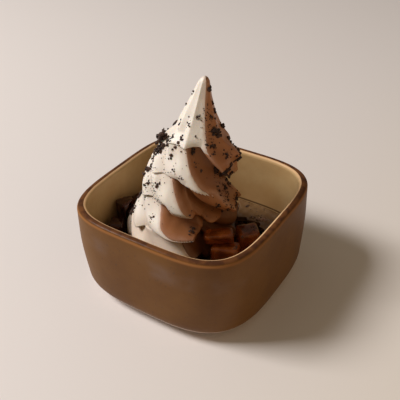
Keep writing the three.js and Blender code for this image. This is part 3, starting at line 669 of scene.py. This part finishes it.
def height_at(angle, fold):
    dropped_folds = fold + SWIRL["starts"] * lip_drop(angle, fold)
    level = SWIRL["first_lip"] - SWIRL["fold_height"] * dropped_folds
    for sag in LIP_SAGS:
        near = np.clip(1 - np.abs(fold - sag["fold"]), 0, 1)
        level = level - sag["depth"] * near * between(angle, sag)
    return level


def leaf_end(angle, fold):
    """The height where the leaf of vanilla in a fold ends."""
    sag = np.select([fold == key for key in LEAF_SAG], list(LEAF_SAG.values()))
    slope = LEAF_SLOPE["rate"] * np.maximum(angle - LEAF_SLOPE["from"], 0)
    sag = sag + np.where(fold == LEAF_SLOPE["fold"], slope, 0)
    return SWIRL["first_lip"] - SWIRL["fold_height"] * (fold + 1) - sag


def beside(angle, at, spread):
    return ((angle - at + 540) % 360 - 180) / spread


def profile_radius(height, angle):
    away = beside(angle, TUCK["at"], TUCK["spread"])
    below = TUCK["below"] + TUCK["higher"] * rising(angle, TUCK["from"], TUCK["across"])
    tuck = TUCK["share"] * np.exp(-away**2) * smooth((below - height) / TUCK["over"])
    bulge = 0
    for share, at, spread, level, over in LOBES:
        away = beside(angle, at, spread)
        bulge = bulge + share * np.exp(-away**2 - ((height - level) / over) ** 2)
    return np.interp(height, PROFILE[:, 0], PROFILE[:, 1]) * (1 - tuck + bulge)


def axis_at(height):
    rise = np.clip((height - AXIS_BEND["from"]) / (SWIRL["top"] - AXIS_BEND["from"]), 0, 1)
    return mix(AXIS_FOOT, AXIS_TIP, rise ** AXIS_BEND["power"])


def leaf_curl(height, fold):
    curl = 0
    for key, (pleats, start, over) in LEAF_CURL.items():
        here = pleats * np.clip((start - height) / over, 0, 1) ** 2
        curl = curl + np.where(fold == key, here, 0)
    return curl


def past_edge(angle, height, fold):
    """Pleats to the right of the flavour edge."""
    below = np.maximum(SWIRL["first_lip"] - height, 0)
    past = (angle - SWIRL["edge"] - TWIST * below) / PLEAT_ANGLE + fold
    past = past - np.where(fold >= LOW_SHIFT["fold"], LOW_SHIFT["pleats"], 0)
    curl = leaf_curl(height, fold)
    return past - curl * np.exp(-(((past - curl) / CURL_WIDTH) ** 2))


def pleat_depth(past, fold):
    """How deep the pleats are there, from 0 on a ridge to 1."""
    in_vanilla = (fold >= 0) & (past > -SWIRL["vanilla_pleats"]) & (past < 0)
    ridges = np.arange(len(HIGH_RIDGES))
    high, low = np.interp(past, HIGH_RIDGES, ridges), np.interp(past, LOW_RIDGES, ridges)
    pleat = np.where(in_vanilla, np.where(fold < LOW_RIDGES_FROM, high, low), past)
    pleat = pleat - np.floor(pleat)
    rise = np.sin(math.pi / 2 * pleat / VALLEY_AT)
    fall = np.maximum((1 - pleat) / (1 - VALLEY_AT), 0) ** VALLEY_POWER
    fan = np.where(pleat < VALLEY_AT, rise, fall)
    arch = np.where(in_vanilla, fan, 4 * pleat * (1 - pleat))
    deepest = math.hypot(1, RIDGE_ROUND) - RIDGE_ROUND
    return (np.sqrt(arch**2 + RIDGE_ROUND**2) - RIDGE_ROUND) / deepest


def hollow_depth(past, fold, part):
    """The depth of the hollow right of the flavour edge."""
    up = np.clip(past / HOLLOW["rise"], 0, 1)
    down = np.clip((past - HOLLOW["rise"]) / HOLLOW["fall"], 0, 1)
    rise = np.sin(math.pi / 2 * up) ** HOLLOW["rise_power"]
    fall = np.cos(math.pi / 2 * down) ** HOLLOW["fall_power"]
    fade = 1 - HOLLOW_FADE["share"] * rising(part, HOLLOW_FADE["from"], HOLLOW_FADE["over"])
    depth = HOLLOW["depth"] * np.where(fold == DEEP_FOLD, HOLLOW["deeper"], 1)
    return depth * fade * np.where(past < HOLLOW["rise"], rise, fall)


def waist(angle, height):
    side = between(angle, WAIST_SIDE) * rising(height, WAIST["shoulder"], WAIST["step"])
    return WAIST["share"] * side * smooth((WAIST["below"] - height) / WAIST["over"])


def relief(angle, height, fold, part):
    """The share of the profile's radius that is left, for whole folds and parts of them, and how
    deep in a hollow that is."""
    past = past_edge(angle, height, fold)
    below = fold >= 0
    opening = rising(angle, SEAM, SEAM_FADE)
    front = between(angle, FRONT)
    far = smooth((LIP_RIGHT["far"] - past) / LIP_RIGHT["across"])
    strength = mix(LIP_LEFT, 1, np.maximum(rising(past, -1, 1), far))
    join = PLEATS_JOIN
    own = np.maximum(smooth(part / join["part"]), rising(past, join["left"], join["across"]))
    own = np.where(below, own, 1)
    pleats = mix(pleat_depth(past - 1, fold - 1), pleat_depth(past, fold), own)
    peak = rising(height, PEAK_PLEATS["from"], PEAK_PLEATS["over"])
    depth = mix(PLEAT_DEPTH, PEAK_DEPTH, peak) * pleats
    flatter = 1 - HOLLOW["flatter"] * smooth(past / HOLLOW["flat_from"]) * front
    depth = np.where(below, depth * flatter, depth)
    depth = depth + np.where(below, hollow_depth(past, fold, part) * front, 0)
    recess = RECESS["depth"] * strength * (1 - smooth(part / RECESS["part"]))
    recess = recess * np.where(fold < SWIRL["starts"], opening, 1)
    depth = depth + np.where(below, recess, 0)
    sag = leaf_end(angle, fold) - height
    under = LEAF_UNDER["depth"] * (1 - smooth(sag / LEAF_UNDER["reach"]))
    depth = depth + np.where(below & (sag > 0), under * between(angle, LEAF_UNDER), 0)
    most = np.where(fold == DEEP_FOLD, MOST_DEPTH[1], MOST_DEPTH[0])
    softly = most + MOST_SOFT * np.tanh((depth - most) / MOST_SOFT)
    depth = np.where(depth > most, softly, depth)
    cavity = depth / CAVITY_DEPTH
    depth = depth + np.where(below, 0, waist(angle, height))
    leaf = rising(past, LEAF_LIP["left"], LEAF_LIP["across"])
    leaf = mix(LIP_LEFT, 1, leaf * rising(angle, LEAF_LIP["from"], LEAF_LIP["over"]))
    lip = np.maximum(strength, leaf) * np.where(fold < SWIRL["starts"] - 1, opening, 1)
    rolled = np.clip((part - LIP_ROLL["from"]) / (1 - LIP_ROLL["from"]), 0, 1)
    roll = LIP_ROLL["depth"] * rolled ** LIP_ROLL["power"] * lip
    swell = np.exp(-(((part - LIP_SWELL["at"]) / LIP_SWELL["spread"]) ** 2))
    return FULL_RADIUS - depth - roll + LIP_SWELL["depth"] * swell * lip, cavity


def surface_point(angle, fold, part):
    """Points on the skin, their heights on the profile and how deep in a hollow they are."""
    height = np.clip(height_at(angle, fold + part), SWIRL["bottom"], SWIRL["top"])
    whole = np.maximum(fold, -1)
    reach = profile_radius(height, angle)
    share, cavity = relief(angle, height, whole, fold + part - whole)
    radius = reach * share
    overhang = SWIRL["overhang"] * rising(height, SWIRL["bottom"], SWIRL["overhang_from"])
    z = height + overhang * (reach - radius)
    turn = angle * DEG
    return turned(axis_at(height) + radius * np.cos(turn), radius * np.sin(turn), z), height, cavity


def swirl_grid():
    columns = SWIRL["columns"] * FINE
    rows = SWIRL["rows"] * FINE
    folds = np.arange(SWIRL["first_fold"], SWIRL["last_fold"] + 1)
    fold = np.repeat(folds, rows + 1)[:, None].astype(float)
    part = np.tile(np.arange(rows + 1) / rows, len(folds))[:, None]
    angle = (SEAM + np.arange(columns + 1) / columns * 360)[None, :]
    points, height, cavity = surface_point(angle, fold, part)
    whole = np.maximum(fold, -1)
    past = past_edge(angle, height, whole)
    # Each column stops at the first row that reaches the foot.
    first = np.argmax(height < SWIRL["bottom"] + FOOT_NEAR, axis=0)
    level = np.minimum(np.arange(len(fold))[:, None], first[None, :])
    points = np.take_along_axis(points, level[:, :, None], axis=0)
    over_leaf_end = np.where(angle < LEAVES_FROM, NO_END, height - leaf_end(angle, whole))
    return points, past, height, over_leaf_end, cavity


def split(triangles, values, edge_of):
    """Cuts triangles along the zero line of the values at their corners."""
    above = values > 0
    whole = above.all(-1), (~above).all(-1)
    kept = [triangles[whole[0]].tolist(), triangles[whole[1]].tolist()]
    mixed = ~(whole[0] | whole[1])
    for corners, at in zip(triangles[mixed].tolist(), values[mixed].tolist()):
        sides = [], []
        for i in range(3):
            j = (i + 1) % 3
            sides[0 if at[i] > 0 else 1].append(corners[i])
            if (at[i] > 0) != (at[j] > 0):
                cut = edge_of(corners[i], corners[j], at[i] / (at[i] - at[j]))
                sides[0].append(cut)
                sides[1].append(cut)
        for side, out in zip(sides, kept):
            out += [[side[0], side[k], side[k + 1]] for k in range(1, len(side) - 1)]
    return [np.array(out) for out in kept]


def backed(points, triangles, axis_points):
    """Closes a patch of skin with a copy of itself that lies nearer the axis."""
    used, compact = np.unique(triangles, return_inverse=True)
    outer = compact.reshape(triangles.shape)
    skin = points[used]
    back = mix(axis_points[used], skin, 1 - BACKING["share"])
    back[:, 2] -= BACKING["lower"] * rising(skin[:, 2], BACKING["from"], BACKING["over"])
    edges = np.concatenate([outer[:, [0, 1]], outer[:, [1, 2]], outer[:, [2, 0]]])
    keys = set(map(tuple, edges.tolist()))
    rim = np.array([edge for edge in edges.tolist() if (edge[1], edge[0]) not in keys])
    count = len(used)
    walls = np.concatenate([
        np.stack([rim[:, 1], rim[:, 0], rim[:, 0] + count], axis=-1),
        np.stack([rim[:, 1], rim[:, 0] + count, rim[:, 1] + count], axis=-1),
    ])
    faces = np.concatenate([outer, outer[:, ::-1] + count, walls])
    return np.concatenate([skin, back]), faces, used


def triangles_of(quads):
    """Two triangles for each quad, from grids that hold the quads' four corners in turn."""
    halves = (0, 1, 2), (0, 2, 3)
    return np.concatenate([
        np.stack([quads[i] for i in half], axis=-1).reshape(-1, 3) for half in halves
    ])


def make_swirl():
    points, past, height, over_leaf_end, cavity = swirl_grid()
    # One index for each place: the seam's two columns, the foot and the tip are shared.
    places, first, same = np.unique(
        np.round(points.reshape(-1, 3), 4), axis=0, return_index=True, return_inverse=True
    )
    grid = same.reshape(height.shape)
    inside = np.minimum(-past, past + SWIRL["vanilla_pleats"]) * PLEAT_ANGLE * DEG
    inside = inside * profile_radius(height, 0.0)
    flavour = np.minimum(inside, over_leaf_end)
    # The strip under a lip goes on with the flavours of the fold above it.
    in_fold = SWIRL["rows"] * FINE + 1
    upper, lower = flavour[:-1], flavour[1:].copy()
    lips = np.arange(in_fold - 1, len(lower), in_fold)
    lower[lips] = upper[lips]
    places_of = grid[:-1, :-1], grid[1:, :-1], grid[1:, 1:], grid[:-1, 1:]
    values_of = upper[:, :-1], lower[:, :-1], lower[:, 1:], upper[:, 1:]
    triangles = triangles_of(places_of)
    values = triangles_of(values_of)
    real = (triangles != np.roll(triangles, 1, axis=1)).all(-1)
    # Each corner has its place, and its height, distance from the flavour edge and cavity.
    values_here = [value.reshape(-1)[first] for value in (height, np.abs(inside), cavity)]
    corners = np.column_stack([places, *values_here]).tolist()
    cuts = {}

    def edge_of(i, j, share):
        key = (i, j, round(share, 3)) if i < j else (j, i, round(1 - share, 3))
        if key not in cuts:
            cuts[key] = len(corners)
            corners.append([mix(p, q, share) for p, q in zip(corners[i], corners[j])])
        return cuts[key]

    patches = split(triangles[real], values[real], edge_of)
    corners = np.array(corners)
    axis_points = turned(axis_at(corners[:, 3]), 0, corners[:, 2])
    for flavour_name, patch, look in zip(("vanilla", "chocolate"), patches, (VANILLA, CHOCOLATE)):
        skin, faces, used = backed(corners[:, :3], patch, axis_points)
        layers = {"edge_mm": np.tile(corners[used, 4], 2), "cavity": np.tile(corners[used, 5], 2)}
        piece = mesh_object(f"{flavour_name}_swirl", skin, faces, layers)
        material = soft_serve_material(flavour_name, look)
        finish_piece(piece, material, f"{flavour_name}_soft_serve", f"soft_serve_{flavour_name}")


# ---- crumbs -----------------------------------------------------------------------------------
def fold_at(angle, height):
    above = np.full_like(angle, SWIRL["first_fold"])
    below = np.full_like(angle, SWIRL["last_fold"] + 1)
    for _ in range(HALVINGS):
        half = (above + below) / 2
        higher = height_at(angle, half) > height
        above = np.where(higher, half, above)
        below = np.where(higher, below, half)
    return above


def unit_rock():
    work = bmesh.new()
    bmesh.ops.create_icosphere(work, subdivisions=1, radius=1)
    corners = np.array([v.co[:] for v in work.verts])
    faces = np.array([[v.index for v in f.verts] for f in work.faces])
    work.free()
    return corners, faces


def scattered(name, centres, sizes, material):
    """One joined mesh of rough crumbs, each with its own shape, turn and shade."""
    corners, faces = unit_rock()
    count = len(centres)
    stretch = random.uniform(*CRUMB_STRETCH, (count, 1, 3))
    lumps = random.normal(0, CRUMB_LUMPS["spread"], (count, len(corners), 1))
    lumps = 1 + lumps.clip(-CRUMB_LUMPS["most"], CRUMB_LUMPS["most"])
    turns = np.linalg.qr(random.normal(size=(count, 3, 3)))[0]
    shapes = (corners[None] * stretch * lumps) @ turns
    points = (centres[:, None, :] + shapes * sizes[:, None, None]).reshape(-1, 3)
    faces = (faces[None] + np.arange(count)[:, None, None] * len(corners)).reshape(-1, 3)
    shade = np.repeat(random.random(count), len(corners))
    piece = mesh_object(name, points, faces, {"shade": shade})
    shade_smooth(piece.data, False)
    finish_piece(piece, material, "cookie_crumb")


def make_crumbs(material):
    centres = []
    sizes = []
    for angle, height, spread_angle, spread_height, count, largest, *heap in CRUMB_GROUPS:
        around = angle + spread_angle * (random.random(count) + random.random(count) - 1)
        around = np.where(around < SEAM, around + 360, around)
        at = height + spread_height * (random.random(count) + random.random(count) - 1)
        fold = fold_at(around, at)
        whole = np.floor(fold)
        points = surface_point(around, whole, fold - whole)[0]
        size = mix(CRUMB_SMALL, largest, random.random(count) ** 2) * SWIRL_CRUMB_SIZE
        out = turned(np.cos(around * DEG), np.sin(around * DEG), CRUMB_SLANT)
        raised = CRUMB_RAISED * size + sum(heap) * random.random(count) ** HEAP_POWER
        centres.append(points + out * raised[:, None])
        sizes.append(size)
    scattered("cookie_crumbs", np.concatenate(centres), np.concatenate(sizes), material)


# ---- coffee and jelly -------------------------------------------------------------------------
def softened(node, name):
    """A finely meshed copy of a CAD solid with rounded edges and a slightly uneven skin."""
    piece = in_scene(name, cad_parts[node].data.copy())
    remesh = piece.modifiers.new("remesh", "REMESH")
    remesh.mode = "VOXEL"
    remesh.voxel_size = JELLY["voxel"] * MM
    round_off = piece.modifiers.new("round", "SMOOTH")
    round_off.factor = JELLY["factor"]
    round_off.iterations = JELLY["rounds"]
    ready = piece.evaluated_get(bpy.context.evaluated_depsgraph_get())
    mesh = bpy.data.meshes.new_from_object(ready)
    piece.modifiers.clear()
    piece.data = mesh
    at = np.empty(len(mesh.vertices) * 3)
    mesh.vertices.foreach_get("co", at)
    normals = np.empty(len(mesh.vertices) * 3)
    mesh.vertices.foreach_get("normal", normals)
    at = at.reshape(-1, 3)
    wave = np.sin(at @ JELLY_WAVES[0] + JELLY["phase"]) * np.sin(at @ JELLY_WAVES[1])
    at = at + normals.reshape(-1, 3) * ((wave - 1) * JELLY["ripple"] * MM)[:, None]
    mesh.vertices.foreach_set("co", at.reshape(-1))
    shade_smooth(mesh)
    return piece


def make_jelly():
    """The blocks in front let light through. Those in the shade on the left and at the back get a
    darker copy of the jelly, painted shade; the slab gets a paler, cloudier copy, a painted sheen.
    """
    amber, dark, sheen_copy = (jelly_material(name, *look) for name, look in JELLY_LOOKS.items())
    pieces = []
    for node in JELLY_BLOCKS:
        # Blocks in shade get the darker copy, painted shade; the slab's paler copy is a painted
        # sheen.
        shaded = "left" in node or "back" in node
        material = sheen_copy if node == "jelly_slab" else dark if shaded else amber
        piece = softened(node, f"{node}_wet")
        pieces.append(finish_piece(piece, material, "coffee_jelly", node))
    return pieces


def dropped(groups, pieces):
    """Where crumbs land that fall on the pieces, and their sizes."""
    bpy.context.view_layer.update()
    graph = bpy.context.evaluated_depsgraph_get()
    trees = [BVHTree.FromObject(piece, graph) for piece in pieces]
    centres = []
    sizes = []
    for x, y, spread_x, spread_y, count, largest in groups:
        for _ in range(count):
            left = x + spread_x * (random.random() + random.random() - 1)
            back = y + spread_y * (random.random() + random.random() - 1)
            size = mix(CRUMB_SMALL, largest, random.random() ** 2) * JELLY_CRUMB_SIZE
            start = Vector(turned(left, back, DROP_FROM)) * MM
            hits = [tree.ray_cast(start, Vector((0, 0, -1)))[0] for tree in trees]
            tops = [hit for hit in hits if hit]
            if tops:
                centres.append(np.array(max(tops, key=lambda hit: hit.z)) / MM)
                sizes.append(size)
    return np.array(centres), np.array(sizes)


def make_jelly_crumbs(pieces, material):
    scattered("jelly_crumbs", *dropped(JELLY_CRUMBS, pieces), material)
    scattered("pale_crumbs", *dropped(PALE_CRUMBS, pieces), pale_crumb_material())


def dress_bed():
    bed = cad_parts["coffee_bed"]
    bed.data.materials.clear()
    bed.data.materials.append(coffee_material())


# ---- floor, light and camera ------------------------------------------------------------------
def make_floor():
    corners = np.array([[-1, -1, 0], [1, -1, 0], [1, 1, 0], [-1, 1, 0]]) * FLOOR_HALF
    floor = mesh_object("floor", corners, [[0, 1, 2, 3]])
    floor.data.materials.append(floor_material())


def make_lights():
    for name, place, size, energy, colour in LAMPS:
        data = bpy.data.lights.new(name, "AREA")
        data.energy = energy
        data.size = size
        data.color = colour
        lamp = in_scene(name, data)
        lamp.location = Vector(turned(*place) * MM)
        away = Vector(LAMPS_AIM) * MM - lamp.location
        lamp.rotation_euler = away.to_track_quat("-Z", "Y").to_euler()
    world = bpy.data.worlds.new("studio")
    bpy.context.scene.world = world
    world.use_nodes = True
    background = world.node_tree.nodes["Background"]
    background.inputs[0].default_value = WORLD["colour"]
    background.inputs[1].default_value = WORLD["strength"]


def make_camera():
    elevation = CAMERA["elevation"] * DEG
    roll = CAMERA["roll"] * DEG
    back = Vector((0, -math.cos(elevation), math.sin(elevation)))
    right = Vector((1, 0, 0))
    up = back.cross(right)
    across = math.cos(roll) * right - math.sin(roll) * up
    upward = math.sin(roll) * right + math.cos(roll) * up
    rotation = Matrix((across, upward, back)).transposed().to_4x4()
    place = Matrix.Translation((Vector(CAMERA["target"]) + back * CAMERA["distance"]) * MM)
    data = bpy.data.cameras.new("camera")
    data.sensor_width = CAMERA["sensor"]
    data.lens = CAMERA["focal_pixels"] / CAMERA["pixels"] * CAMERA["sensor"]
    camera = in_scene("camera", data)
    camera.matrix_world = Matrix.Rotation(FACE_TURN, 4, "Z") @ place @ rotation
    bpy.context.scene.camera = camera
    bpy.context.scene.view_settings.view_transform = "Standard"


crumb = crumb_material()
make_bowl()
make_swirl()
make_crumbs(crumb)
dress_bed()
make_jelly_crumbs(make_jelly(), crumb)
make_floor()
make_lights()
make_camera()
